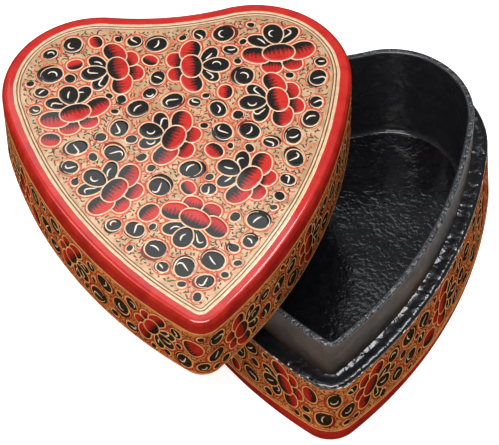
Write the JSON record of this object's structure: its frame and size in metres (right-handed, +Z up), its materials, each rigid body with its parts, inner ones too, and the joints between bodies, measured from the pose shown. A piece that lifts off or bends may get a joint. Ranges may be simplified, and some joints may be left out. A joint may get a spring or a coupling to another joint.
{
  "type": "heart-shaped keepsake box",
  "caption": "Hand-painted heart-shaped papier-mache keepsake box: a base with a raised inner collar, and a lift-off lid set down askew on its rim.",
  "frame": {"origin": "middle of the base's underside, half way between the lobes' tops and the tip on the heart's centre line", "axes": "+Z up out of the open base, +Y from the heart's tip towards its notch, +X towards the right-hand lobe"},
  "size_m": [0.1343, 0.1123, 0.0625],
  "materials": {
    "base_wall_paint": "gloss",
    "base_floor_lacquer": "gloss",
    "collar_lacquer": "gloss",
    "lid_wall_paint": "gloss",
    "lid_panel_paint": "gloss"
  },
  "bodies": {
    "base": {"base_wall": "base_wall_paint", "base_floor": "base_floor_lacquer", "collar": "collar_lacquer"},
    "lid": {"lid_wall": "lid_wall_paint", "lid_panel": "lid_panel_paint"}
  },
  "joints": [
    {"name": "lid_lift", "type": "slide", "parent": "base", "child": "lid", "axis": [0, 0, 1], "range_m": [0, 0.08]}
  ]
}
